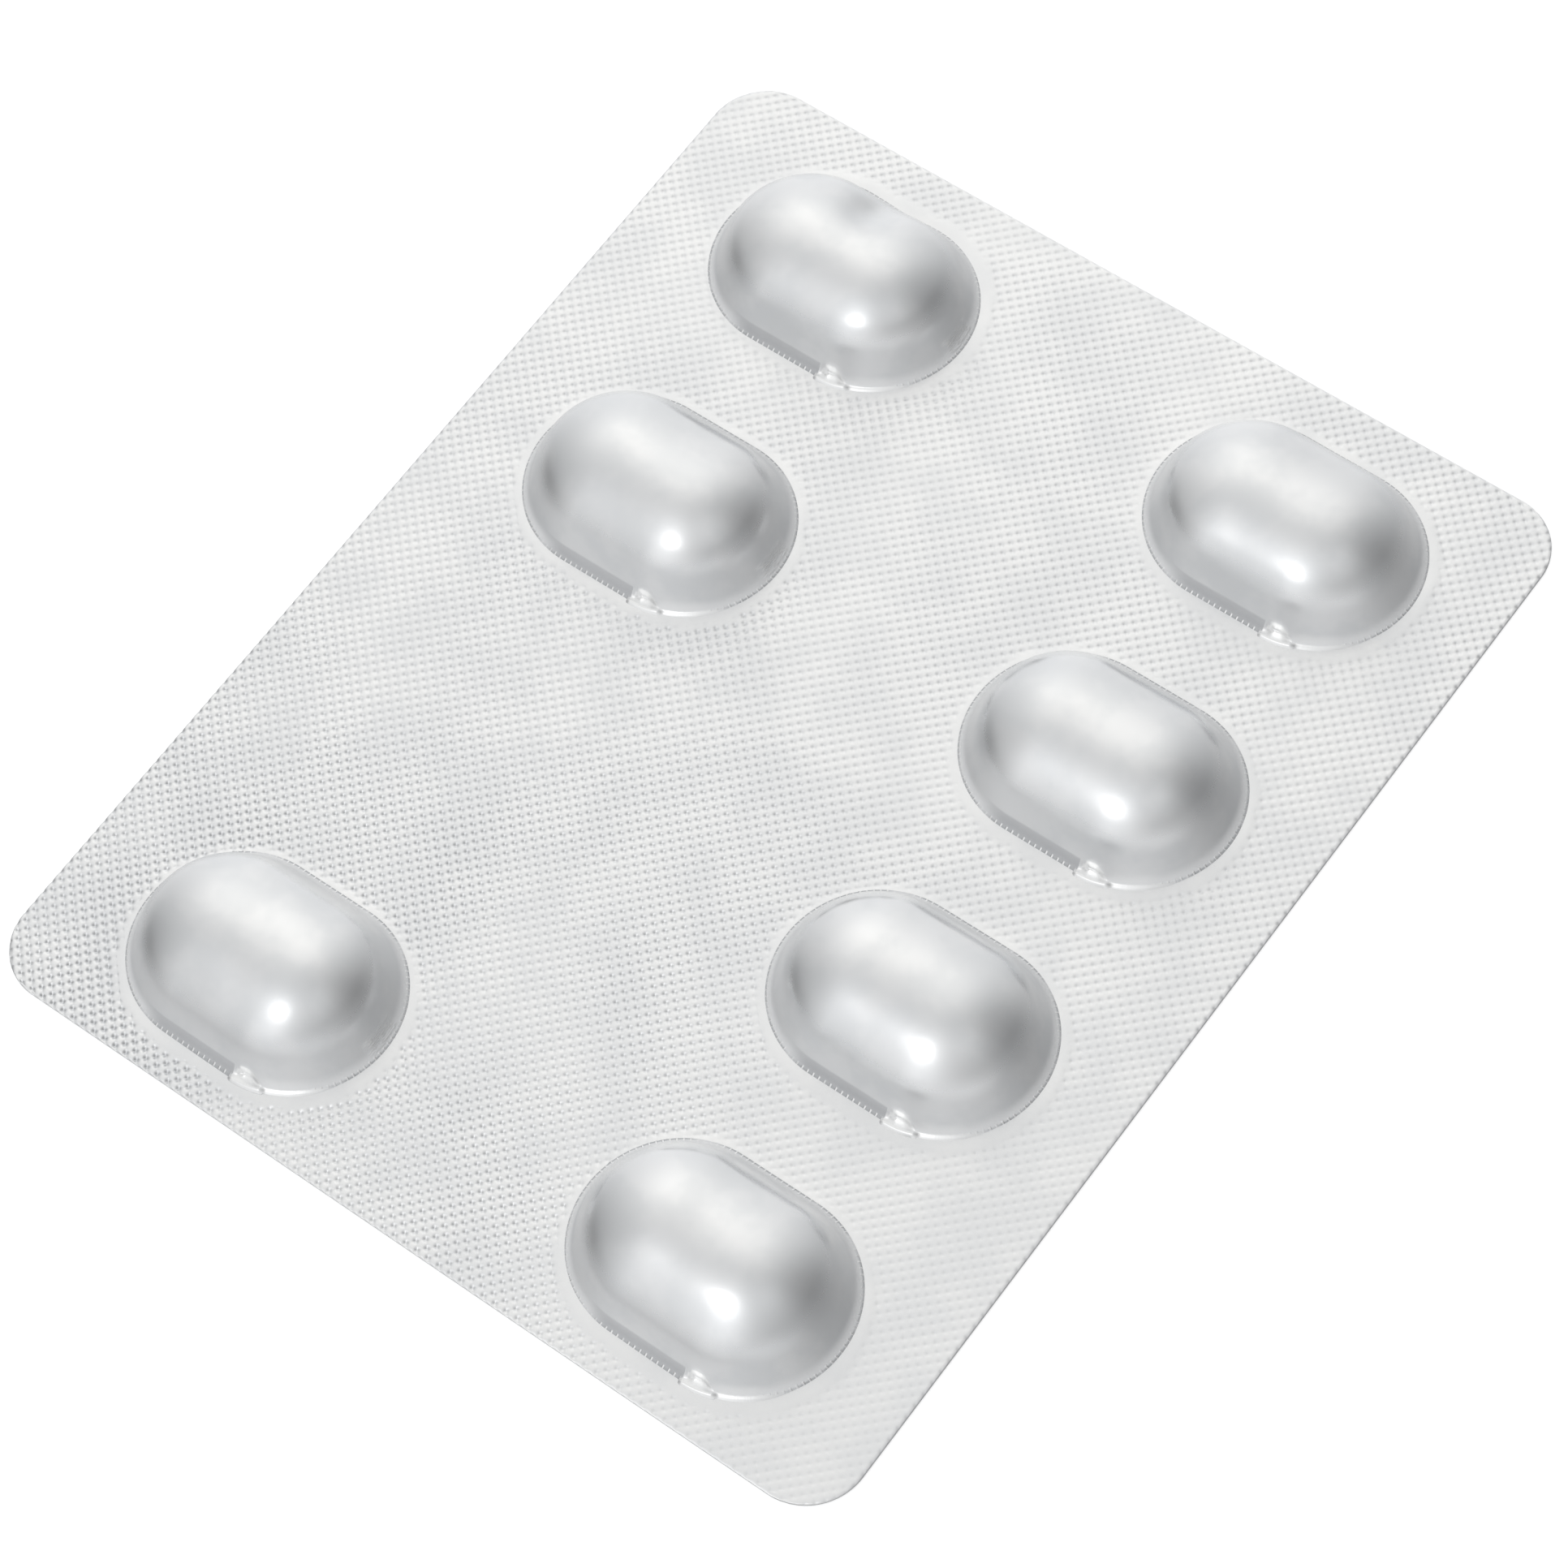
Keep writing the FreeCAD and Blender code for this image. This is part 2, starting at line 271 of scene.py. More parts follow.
def sealedSheet(name, base, level, depth, up, swell):
    # A closed sheet of foil: one knurled face on the grid, a rim and a plain back at height base.
    x, y, xs, ys, middle = outlineGrid(dotPitch / seal["stepsPerPitch"])
    ring = ringDistance(x, y)
    ragged = seal["knurlRagged"] * wander(x, y, seal["raggedLength"], 8)
    strength = smoothStep(*seal["knurlEdge"], ring + ragged) * platePressure(x, y)
    edge = np.minimum(card["halfWidth"] - np.abs(xs)[None, :], card["halfLength"] - np.abs(ys)[:, None])
    z = depth * strength * knurl(x, y) + swell * webSwell(x, y) * smoothStep(0, card["swellFade"], edge)
    z += swell * seal["ringRise"] * smoothStep(*seal["ringEdge"], ring)
    z -= card["edgeDrop"] * smoothStep(card["edgeWidth"], 0, edge)
    rows, columns = x.shape
    face = np.stack([x, y, level + up * z], axis=-1).reshape(-1, 3)
    # Each cell is two triangles. The cut between them changes way from cell to cell, like a chess
    # board, so that every pit is cut alike on all its sides.
    first = np.arange(rows - 1)[:, None] * columns + np.arange(columns - 1)[None, :]
    corners = np.stack([first, first + 1, first + columns + 1, first + columns], axis=-1)
    even = (np.add.outer(np.arange(rows - 1), np.arange(columns - 1)) + middle) % 2 == 0
    one = np.where(even[..., None], corners[..., [0, 1, 2]], corners[..., [0, 1, 3]])
    two = np.where(even[..., None], corners[..., [0, 2, 3]], corners[..., [1, 2, 3]])
    keep = np.ones((rows - 1, columns - 1), bool)
    hidden = []
    # Under each pocket one rectangle of cells, out of sight, becomes a single face.
    for column, row, offX, offY, dent in seats:
        seatX, seatY = seatMiddle(column, row)
        left, right = np.searchsorted(xs, [seatX - seal["hiddenAcross"], seatX + seal["hiddenAcross"]])
        low, high = np.searchsorted(ys, [seatY - seal["hiddenAlong"], seatY + seal["hiddenAlong"]])
        keep[low:high, left:right] = False
        below = low * columns + np.arange(left, right)
        beside = np.arange(low, high) * columns + right
        above = high * columns + np.arange(right, left, -1)
        back = np.arange(high, low, -1) * columns + left
        hidden.append(np.concatenate([below, beside, above, back]).tolist())
    border = np.concatenate([
        np.arange(columns),
        np.arange(1, rows) * columns + columns - 1,
        (rows - 1) * columns + np.arange(columns - 2, -1, -1),
        np.arange(rows - 2, 0, -1) * columns,
    ])
    plain = face[border].copy()
    plain[:, 2] = base
    lower = len(face) + np.arange(len(border))
    rim = np.stack([border, lower, np.roll(lower, -1), np.roll(border, -1)], axis=1)
    faces = one[keep].tolist() + two[keep].tolist() + hidden + rim.tolist() + [lower[::-1].tolist()]
    if up < 0:
        faces = [loop[::-1] for loop in faces]
    made = meshObject(name, np.concatenate([face, plain]), faces)
    depths = made.data.attributes.new("knurlDepth", "FLOAT", "POINT")
    depths.data.foreach_set("value", np.concatenate([strength.ravel(), 0 * border]).astype(np.float32))
    return made


def pocketSection():
    # Half of a pocket's section from the crown's top out to the foot, as distances from the middle
    # line and heights: crown arc, shoulder arc touching it from inside, leaning wall, hollow flare.
    draft = math.radians(pocket["wallDraft"])
    outward = np.array([math.cos(draft), math.sin(draft)])
    along = np.array([-math.sin(draft), math.cos(draft)])
    foot = pocket["footHalfWidth"]
    shoulderRadius = pocket["shoulderRadius"]
    flareTop = np.array([foot - pocket["flareWidth"], pocket["flareHeight"]])
    chord = np.array([-pocket["flareWidth"], pocket["flareHeight"]])
    flareRadius = -(chord @ chord) / (2 * chord @ outward)
    flareMiddle = flareTop + flareRadius * outward
    crownMiddle = np.array([0, pocket["height"] - pocket["crownRadius"]])
    start = flareTop - shoulderRadius * outward - crownMiddle
    gap = pocket["crownRadius"] - shoulderRadius
    climb = -start @ along + math.sqrt((start @ along) ** 2 - start @ start + gap**2)
    shoulderMiddle = crownMiddle + start + climb * along
    meet = math.atan2(*(shoulderMiddle - crownMiddle)[::-1])
    flareStart = math.atan2(*(flareTop - flareMiddle)[::-1]) % (2 * math.pi)
    flareEnd = math.atan2(-flareMiddle[1], foot - flareMiddle[0]) % (2 * math.pi)

    def arc(middle, radius, begin, end):
        angle = np.linspace(begin, end, 60)
        return middle + radius * np.stack([np.cos(angle), np.sin(angle)], axis=1)

    flare = arc(flareMiddle, flareRadius, flareStart, flareEnd)
    beyond = flare[-1] + pocket["overlap"] * np.array([1, -pocket["overlapFall"]])
    corners = np.concatenate([
        arc(crownMiddle, pocket["crownRadius"], math.pi / 2, meet),
        arc(shoulderMiddle, shoulderRadius, meet, draft)[1:],
        flare,
        beyond[None, :],
    ])
    return easedSection(corners)


def easedSection(corners):
    # The section at even small steps, averaged over its neighbours with bell-shaped weights, then
    # thinned. Both ends keep their place: the line goes on as its own turned copy beyond each.
    length = np.concatenate([[0], np.cumsum(np.hypot(*np.diff(corners, axis=0).T))])
    step = 0.02
    fine = np.arange(0, length[-1], step)
    reach = int(3 * pocket["soften"] / step)
    weights = hump(np.arange(-reach, reach + 1) * step, 0, pocket["soften"])
    eased = []
    for line, mirror in zip(corners.T, (-1, 1)):
        plain = np.interp(fine, length, line)
        before = mirror * plain[reach:0:-1]
        after = 2 * plain[-1] - plain[-2:-reach - 2:-1]
        eased.append(np.convolve(np.concatenate([before, plain, after]), weights / weights.sum(), "valid"))
    # Points lie closer together towards the foot.
    share = np.linspace(0, 1, pocket["sectionSteps"])
    at = fine[-1] * (1 - (1 - share) ** pocket["crowding"])
    reachOut = np.interp(at, fine, eased[0])
    height = np.interp(at, fine, eased[1])
    fillet = pocket["footFillet"]
    height = fillet * np.log1p(np.exp(height / fillet))
    height -= np.interp(pocket["footHalfWidth"], reachOut, height)
    return reachOut, height, np.interp(pocket["footHalfWidth"], reachOut, at) - at


def pocketRays():
    # Round the pocket once: points of its middle line, the direction square to the outline and the
    # way gone along the foot.
    half = pocket["straight"] / 2
    end = np.linspace(-math.pi / 2, math.pi / 2, pocket["aroundEnd"] + 1)
    run = np.linspace(half, -half, pocket["alongStraight"] + 1)[1:-1]
    up = np.full(run.size, math.pi / 2)
    angle = np.concatenate([end, up, end + math.pi, 3 * up])
    middle = np.concatenate([np.full(end.size, half), run, np.full(end.size, -half), -run])
    edge = np.stack([middle + pocket["footHalfWidth"] * np.cos(angle),
                     pocket["footHalfWidth"] * np.sin(angle)])
    gone = np.concatenate([[0], np.cumsum(np.hypot(*np.diff(edge, axis=1)))])
    return middle, np.cos(angle), np.sin(angle), gone


def foldFoot(height, beyondFoot, across, outX, near):
    # The fold: a small three-cornered flat where the near straight meets the round end, its depth into
    # the foot a product of two eased ramps, and a thin bell-shaped lip from it round the end. Also how
    # far each point is folded or rubbed, with a fainter sheen above the lip: the colour paints all of this
    # as a highlight.
    fold = foldShape
    corner = smoothStep(*fold["begin"], across) * smoothStep(*fold["end"], across) * near
    inner = -fold["width"] * corner
    low, high = fold["innerEdge"]
    flat = smoothStep(inner + low, inner + high, beyondFoot) * smoothStep(*fold["shallowest"], corner)
    flat *= smoothStep(*fold["outerEdge"], beyondFoot)
    height = height + flat * (fold["height"] + fold["tilt"] * beyondFoot - height)
    lip = smoothStep(*fold["lipBegin"], outX) * smoothStep(*fold["lipEnd"], outX) * near
    height += fold["lipHeight"] * lip * hump(beyondFoot, fold["lipOff"], fold["lipWidth"])
    # Where the fold and lip are painted white as highlights, and a fainter painted sheen above the lip.
    rubbedAndLit = np.maximum(flat, lip * hump(beyondFoot, -fold["lipOff"], fold["lipWidth"]))
    sheen = fold["sheen"] * lip * hump(beyondFoot, -fold["sheenUp"], fold["sheenWidth"])
    return height, np.maximum(rubbedAndLit, sheen)


def makePocket(column, row, dent):
    # Points, faces, places on the run map and the fold attribute of one pocket.
    section, rise, fromFoot = pocketSection()
    middle, outX, outY, gone = pocketRays()
    cx, cy = seatMiddle(column, row)
    # A last ring, a shade further out and lower, closes the underside.
    shade = 0.02
    reach = np.add.outer(np.append(section, section[-1] + shade), 0 * middle)
    height = np.add.outer(np.append(rise, rise[-1] - shade), 0 * middle)
    across = middle + reach * outX
    along = reach * outY
    # On the crown the height follows a softened distance, so that the straight runs into the ends
    # with no change of curvature: |x| less the half straight goes through a soft ramp.
    soft = pocket["blend"]
    beside = soft * np.log1p(np.exp((np.abs(across) - pocket["straight"] / 2) / soft))
    share = smoothStep(*pocket["crownReach"], reach)
    height += share * (np.interp(np.hypot(beside, along), section, rise) - height)
    seed = 20 + row + 10 * column
    waves = wander(across, along, pocket["unevenLength"], seed)
    height += pocket["unevenness"] * smoothStep(*pocket["unevenReach"], reach) * waves
    # The dent: a bell-shaped hollow high on the far side of the crown.
    hollow = hump(across, dentShape["across"], dentShape["halfAcross"])
    height -= dent * hollow * hump(along, dentShape["along"], dentShape["halfAlong"])
    height, fold = foldFoot(height, reach - pocket["footHalfWidth"], across, outX, outY < 0)
    z = card["webLevel"] + seal["ringRise"] + height + webSwell(cx + across, cy + along)
    points = np.stack([cx + across, cy + along, z], axis=-1).reshape(-1, 3)
    rings, around = across.shape
    number = np.arange(rings * around).reshape(rings, around)
    nextOne = np.roll(number, -1, axis=1)
    faces = np.stack([number[:-1], number[1:], nextOne[1:], nextOne[:-1]], axis=-1).reshape(-1, 4)
    total = gone[-1] + pocket["straight"] / pocket["alongStraight"]
    u = np.add.outer(np.zeros(rings), gone)
    uNext = np.add.outer(np.zeros(rings), np.append(gone[1:], total))
    v = np.add.outer(np.append(fromFoot, fromFoot[-1]), 0 * middle)
    spots = np.stack([
        np.stack([u[:-1], v[:-1]], axis=-1),
        np.stack([u[1:], v[1:]], axis=-1),
        np.stack([uNext[1:], v[1:]], axis=-1),
        np.stack([uNext[:-1], v[:-1]], axis=-1),
    ], axis=2).reshape(-1, 2)
    under = number[-1][::-1]
    spots = np.concatenate([spots, np.zeros((around, 2))])
    return points, faces, under, spots, fold.ravel()


def makePockets(name, side):
    points, faces, spots, folds = [], [], [], []
    start = 0
    for column, row, offX, offY, dent in seats:
        if column != side:
            continue
        somePoints, someFaces, under, someSpots, fold = makePocket(column, row, dent)
        points.append(somePoints)
        faces += (someFaces + start).tolist() + [(under + start).tolist()]
        spots.append(someSpots)
        folds.append(fold)
        start += len(somePoints)
    made = meshObject(name, np.concatenate(points), faces)
    runMap = made.data.uv_layers.new(name="run")
    runMap.data.foreach_set("uv", np.concatenate(spots).astype(np.float32).ravel())
    foldShare = made.data.attributes.new("fold", "FLOAT", "POINT")
    foldShare.data.foreach_set("value", np.concatenate(folds).astype(np.float32))
    shell = bmesh.new()
    shell.from_mesh(made.data)
    bmesh.ops.remove_doubles(shell, verts=shell.verts, dist=0.0005 * mm)
    bmesh.ops.dissolve_degenerate(shell, edges=shell.edges, dist=0.0005 * mm)
    bmesh.ops.recalc_face_normals(shell, faces=shell.faces)
    shell.to_mesh(made.data)
    shell.free()
    return made


def maths(tree, operation, *values):
    # A Math node. Numbers are set on its sockets and outputs are linked to them.
    node = tree.nodes.new("ShaderNodeMath")
    node.operation = operation
    for socket, value in zip(node.inputs, values):
        if isinstance(value, (int, float)):
            socket.default_value = value
        else:
            tree.links.new(value, socket)
    return node.outputs[0]


def vectorMaths(tree, operation, *values):
    node = tree.nodes.new("ShaderNodeVectorMath")
    node.operation = operation
    for socket, value in zip(node.inputs, values):
        if isinstance(value, tuple):
            socket.default_value = value
        else:
            tree.links.new(value, socket)
    return node.outputs["Value" if operation == "DOT_PRODUCT" else "Vector"]


def eased(tree, value, fromLow, fromHigh, toLow, toHigh):
    node = tree.nodes.new("ShaderNodeMapRange")
    node.interpolation_type = "SMOOTHSTEP"
    tree.links.new(value, node.inputs["Value"])
    limits = {"From Min": fromLow, "From Max": fromHigh, "To Min": toLow, "To Max": toHigh}
    for socket, limit in limits.items():
        node.inputs[socket].default_value = limit
    return node.outputs["Result"]


def band(tree, value, start, full, fade, end):
    # One between full and fade, and nothing before start and after end.
    return maths(tree, "MULTIPLY", eased(tree, value, start, full, 0, 1), eased(tree, value, fade, end, 1, 0))


def noise(tree, where, scale, detail=2.0, turn=0.0):
    # Noise of about half, whose features are one unit of where times 1 / scale long each way.
    mapping = tree.nodes.new("ShaderNodeMapping")
    tree.links.new(where, mapping.inputs["Vector"])
    mapping.inputs["Scale"].default_value = scale
    mapping.inputs["Rotation"].default_value = (0, 0, math.radians(turn))
    node = tree.nodes.new("ShaderNodeTexNoise")
    tree.links.new(mapping.outputs["Vector"], node.inputs["Vector"])
    node.inputs["Scale"].default_value = 1
    node.inputs["Detail"].default_value = detail
    return node.outputs["Fac"]


def blendColour(tree, factor, one, two):
    node = tree.nodes.new("ShaderNodeMix")
    node.data_type = "RGBA"
    tree.links.new(factor, node.inputs["Factor"])
    for socket, value in (("A", one), ("B", two)):
        target = [s for s in node.inputs if s.name == socket and s.type == "RGBA"][0]
        if isinstance(value, tuple):
            target.default_value = (*value, 1)
        else:
            tree.links.new(value, target)
    return [s for s in node.outputs if s.type == "RGBA"][0]


def bump(tree, height, distance, under=None):
    # Height is in shares of distance, and distance is in millimetres.
    node = tree.nodes.new("ShaderNodeBump")
    node.inputs["Distance"].default_value = distance * mm
    tree.links.new(height, node.inputs["Height"])
    if under is not None:
        tree.links.new(under, node.inputs["Normal"])
    return node.outputs["Normal"]


def attribute(tree, name):
    node = tree.nodes.new("ShaderNodeAttribute")
    node.attribute_name = name
    return node.outputs["Fac"]


def startFoil(name):
    material = bpy.data.materials.new(name)
    material.use_nodes = True
    tree = material.node_tree
    shader = tree.nodes["Principled BSDF"]
    shader.inputs["Metallic"].default_value = 1
    place = tree.nodes.new("ShaderNodeTexCoord").outputs["Object"]
    return material, tree, shader, place


knurledFoil = {
    "clean": (0.97, 0.97, 0.967),
    "dull": (0.94, 0.943, 0.945),
    # Pits are darkened towards this colour: painted shade in the knurl's hollows.
    "pitAndPaintedShade": (0.78, 0.79, 0.8),
    "roughness": (0.32, 0.42),
    "knurlBump": 0.13,
    "extraSharpness": 0.6,          # the pit's painted shade and bump are this much narrower than its hollow
    "pressPatches": (45, 45, 45),   # these are noise scales, in cycles to the metre
    "smears": (160, 160, 160),
    "fineGrain": (9000, 9000, 9000),
    "streaks": (900, 7000, 2000),
    "warps": (38, 38, 38),
    "streakTurn": 38,
    "warp": 0.16,
    "grain": 0.004,
    "pressRange": (0.3, 0.62, 0.45, 1),     # noise from and to, then the share of the knurl there
    "smearRange": (0.4, 0.62),
    "wearRange": (0.3, 0.7),
}


def makeKnurledFoil(name, finish):
    material, tree, shader, place = startFoil(name)
    split = tree.nodes.new("ShaderNodeSeparateXYZ")
    tree.links.new(place, split.inputs[0])
    turns = 2 * math.pi / (dotPitch * mm)
    crossing = maths(
        tree, "MULTIPLY",
        maths(tree, "COSINE", maths(tree, "MULTIPLY", split.outputs["X"], turns)),
        maths(tree, "COSINE", maths(tree, "MULTIPLY", split.outputs["Y"], turns)),
    )
    sharpness = seal["sharpness"] + finish["extraSharpness"]
    pitAndPaintedShade = maths(tree, "POWER", maths(tree, "MULTIPLY_ADD", crossing, 0.5, 0.5), sharpness)
    # The plates press unevenly, so the knurl is deep in some places and faint in others.
    press = eased(tree, noise(tree, place, finish["pressPatches"]), *finish["pressRange"])
    pitAndPaintedShade = maths(tree, "MULTIPLY", maths(tree, "MULTIPLY", pitAndPaintedShade, attribute(tree, "knurlDepth")), press)
    smear = noise(tree, place, finish["smears"], 4)
    fine = noise(tree, place, finish["fineGrain"], 3)
    streak = noise(tree, place, finish["streaks"], 2, finish["streakTurn"])
    dulled = eased(tree, smear, *finish["smearRange"], 0, 1)
    land = blendColour(tree, dulled, finish["clean"], finish["dull"])
    # The pits are painted darker, as deep as the knurl there: painted shade in the knurl's hollows.
    colour = blendColour(tree, pitAndPaintedShade, land, finish["pitAndPaintedShade"])
    tree.links.new(colour, shader.inputs["Base Color"])
    low, high = finish["roughness"]
    wear = maths(tree, "MULTIPLY_ADD", fine, 0.4, maths(tree, "MULTIPLY", smear, 0.6))
    tree.links.new(eased(tree, wear, *finish["wearRange"], low, high), shader.inputs["Roughness"])
    normal = bump(tree, noise(tree, place, finish["warps"], 1), finish["warp"])
    normal = bump(tree, maths(tree, "MULTIPLY", pitAndPaintedShade, -1), finish["knurlBump"], normal)
    grain = maths(tree, "MULTIPLY_ADD", streak, 0.5, maths(tree, "MULTIPLY", fine, 0.5))
    tree.links.new(bump(tree, grain, finish["grain"], normal), shader.inputs["Normal"])
    return material


drawnFoil = {
    "clean": (0.885, 0.888, 0.892),
    "dull": (0.84, 0.848, 0.856),
    # Near white for the beads, the fold and the crumple's creases: painted highlights.
    "paintedHighlight": (0.99, 0.99, 0.985),
    # Lighter low on the wall near the foot: painted light.
    "rubbedAndLit": (0.97, 0.972, 0.975),
    # Darker along the foot crease: painted shade.
    "crease": (0.66, 0.67, 0.68),
    "shade": (0.72, 0.725, 0.735),
    "wayRound": 2 * pocket["straight"] + 2 * math.pi * pocket["footHalfWidth"],
    "wornRoughness": 0.28,
    "roughness": (0.17, 0.25),
    "wallRoughness": 0.26,   # added down the wall, where the foil is drawn furthest
    "footRoughness": 0.24,  # added again where the sealing plate has rubbed it
    "beadPitch": dotPitch / 2,
    # Distances up the wall from the foot, or along the foot from the start of the near right curve.
    "beadUp": (-0.1, 0.05, 0.2, 0.4),
    "creaseUp": (0.06, 0.26),
    "rubAndLightUp": (0.5, 1.4),
    "shadeUp": (1.25, 1.5),
    "shadeEase": 3,
    "stretchedUp": (2.8, 5.6),
    "drawnUp": (0.6, 4),
    "crumpleAlong": (11.3, 12.2, 14.6, 15.3),
    "crumpleUp": (0.3, 0.6, 1.7, 2.2),
    "bead": 0.045,          # from here on, how high each bump is
    "drawLines": 0.006,
    "crinkle": 0.1,
    "soft": 0.015,
    "grain": 0.0015,
    "smears": (260, 260, 260),      # noise scales in cycles to the metre
    "fineGrain": (7000, 7000, 7000),
    "softness": (330, 330, 330),
    "patches": (0.3, 0.1, 1),       # noise scales in cycles to the millimetre, along and up
    "creaseLines": (0.9, 6.5, 1),
    "toolLines": (5.5, 0.35, 1),
    "creaseTurn": 25,
    "patchRange": (0.36, 0.52, 0.2, 1),     # noise from and to, then the share of the beads there
    "foldRange": (0.12, 0.4),
    "domeRange": (0.3, 0.9),
    "creaseRange": (0.5, 0.6),
    "smearRange": (0.4, 0.62),
    "wearRange": (0.3, 0.7),
}


def makeDrawnFoil(name, crumpled):
    material, tree, shader, place = startFoil(name)
    finish = drawnFoil
    run = tree.nodes.new("ShaderNodeUVMap")
    run.uv_map = "run"
    split = tree.nodes.new("ShaderNodeSeparateXYZ")
    tree.links.new(run.outputs["UV"], split.inputs[0])
    along, up = split.outputs["X"], split.outputs["Y"]
    # Beads where the knurled plate bears on the foot, a row of small domes half a net pitch apart, whose
    # colour is a painted highlight.
    wave = maths(tree, "COSINE", maths(tree, "MULTIPLY", along, 2 * math.pi / finish["beadPitch"]))
    nearFoot = band(tree, up, *finish["beadUp"])
    patchy = eased(tree, noise(tree, run.outputs["UV"], finish["patches"], 2), *finish["patchRange"])
    folded = eased(tree, attribute(tree, "fold"), *finish["foldRange"], 0, 1)
    bead = maths(tree, "MULTIPLY", eased(tree, wave, *finish["domeRange"], 0, 1), nearFoot)
    bead = maths(tree, "MULTIPLY", bead, maths(tree, "MULTIPLY", patchy, maths(tree, "SUBTRACT", 1, folded)))
    paintedHighlight = maths(tree, "MAXIMUM", bead, folded)
    # A crumpled patch of fine creases low on the round end, with painted highlights on its creases.
    patch = maths(tree, "MULTIPLY",
                  band(tree, along, *finish["crumpleAlong"]), band(tree, up, *finish["crumpleUp"]))
    patch = maths(tree, "MULTIPLY", patch, crumpled)
    creases = noise(tree, run.outputs["UV"], finish["creaseLines"], 3, finish["creaseTurn"])
    creased = eased(tree, creases, *finish["creaseRange"], 0, 1)
    paintedHighlight = maths(tree, "MAXIMUM", paintedHighlight, maths(tree, "MULTIPLY", patch, creased))
    smear = noise(tree, place, finish["smears"], 3)
    fine = noise(tree, place, finish["fineGrain"], 3)
    dulled = eased(tree, smear, *finish["smearRange"], 0, 1)
    body = blendColour(tree, dulled, finish["clean"], finish["dull"])
    # Low on the wall the colour is painted lighter, and the foil is rougher where the plate rubbed it.
    rubAndLight = eased(tree, up, *finish["rubAndLightUp"], 1, 0)
    body = blendColour(tree, rubAndLight, body, finish["rubbedAndLit"])
    # The near straight is painted darker in a band at its foot: painted shade where it turns under.
    straightStart = finish["wayRound"] - pocket["straight"]
    paintedFootShade = maths(
        tree, "MULTIPLY",
        eased(tree, up, *finish["shadeUp"], 1, 0),
        eased(tree, along, straightStart - finish["shadeEase"], straightStart, 0, 1),
    )
    body = blendColour(tree, paintedFootShade, body, finish["shade"])
    # A darker line along the foot crease: painted shade.
    crease = maths(tree, "MULTIPLY", eased(tree, up, *finish["creaseUp"], 1, 0), patchy)
    body = blendColour(tree, crease, body, finish["crease"])
    # Beads, the fold and the crumple's creases are painted near white: painted highlights.
    tree.links.new(blendColour(tree, paintedHighlight, body, finish["paintedHighlight"]), shader.inputs["Base Color"])
    low, high = finish["roughness"]
    wear = maths(tree, "MULTIPLY_ADD", fine, 0.35, maths(tree, "MULTIPLY", smear, 0.65))
    stretched = eased(tree, up, *finish["stretchedUp"], finish["wallRoughness"], 0)
    rough = maths(tree, "ADD", eased(tree, wear, *finish["wearRange"], low, high), stretched)
    rough = maths(tree, "MULTIPLY_ADD", rubAndLight, finish["footRoughness"], rough)
    smoother = maths(tree, "MULTIPLY", paintedHighlight, maths(tree, "SUBTRACT", finish["wornRoughness"], rough))
    tree.links.new(maths(tree, "ADD", rough, smoother), shader.inputs["Roughness"])
    # Lines drawn down the wall by the forming tool, long up the wall and narrow along it.
    toolLines = noise(tree, run.outputs["UV"], finish["toolLines"], 2)
    drawn = maths(tree, "MULTIPLY", toolLines, eased(tree, up, *finish["drawnUp"], 1, 0))
    crumple = maths(tree, "MULTIPLY", patch, creases)
    normal = bump(tree, noise(tree, place, finish["softness"], 1), finish["soft"])
    normal = bump(tree, drawn, finish["drawLines"], normal)
    normal = bump(tree, crumple, finish["crinkle"], normal)
    normal = bump(tree, bead, finish["bead"], normal)
    tree.links.new(bump(tree, fine, finish["grain"], normal), shader.inputs["Normal"])
    return material


seam = 0.001   # the two foils keep this far apart, so that their faces don't coincide
web = sealedSheet("sealed_web", card["lidTop"], card["webLevel"], seal["depth"], 1, 1)
lidBase = card["lidTop"] - seam
lid = sealedSheet("lidding_foil", lidBase, card["lidLevel"], seal["lidDepth"], -1, card["lidSwell"])
leftPockets = makePockets("pockets_left", -1)
rightPockets = makePockets("pockets_right", 1)
web.data.materials.append(makeKnurledFoil("sealed foil", knurledFoil))
lid.data.materials.append(makeKnurledFoil("lidding foil", knurledFoil))
leftPockets.data.materials.append(makeDrawnFoil("drawn foil", 1.0))
rightPockets.data.materials.append(makeDrawnFoil("smoother drawn foil", 0.0))
for piece in (web, lid, leftPockets, rightPockets):
    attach(piece, "root")
    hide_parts("blister_pack")
    print(piece.name, sum(len(face.vertices) - 2 for face in piece.data.polygons), "triangles")

view = {
    "azimuth": -43.2,
    "elevation": 61.7,
    "roll": -11.5,
    "distance": 370,
    "aim": (1.9, -2.6, 0),
    "lens": 113.8,
}

room = {
    "low": 0.24,            # light level low down
    "rise": 0.18,           # how much more there is overhead
    "begin": 0.03,          # height above the horizon, as a share, where it starts to rise
    "cool": (0.98, 0.99, 1.0),
    "warm": (1.0, 0.997, 0.98),
}

# Soft lights and screens round the table: azimuth, elevation, strength and tightness. A screen has a
# strength below nothing.
lights = {
    "far window": (130, 50, 0.4, 12),
    "far wall": (130, -5, 0.7, 2),
    "near wall": (-90, 10, 0.5, 3),
    "near window": (-95, 50, 0.25, 14),
    "ceiling left": (-115, 70, 0.4, 25),
    "ceiling right": (10, 75, 0.2, 40),
    "camera side": (-30, 0, 0.35, 6),
    "right screen": (45, 45, -0.2, 10),
    "left screen": (-160, 15, -0.2, 12),
}


def direction(azimuth, elevation):
    # Azimuth runs from +X towards +Y, elevation up from the floor.
    a = math.radians(azimuth)
    e = math.radians(elevation)
    return Vector((math.cos(a) * math.cos(e), math.sin(a) * math.cos(e), math.sin(e)))


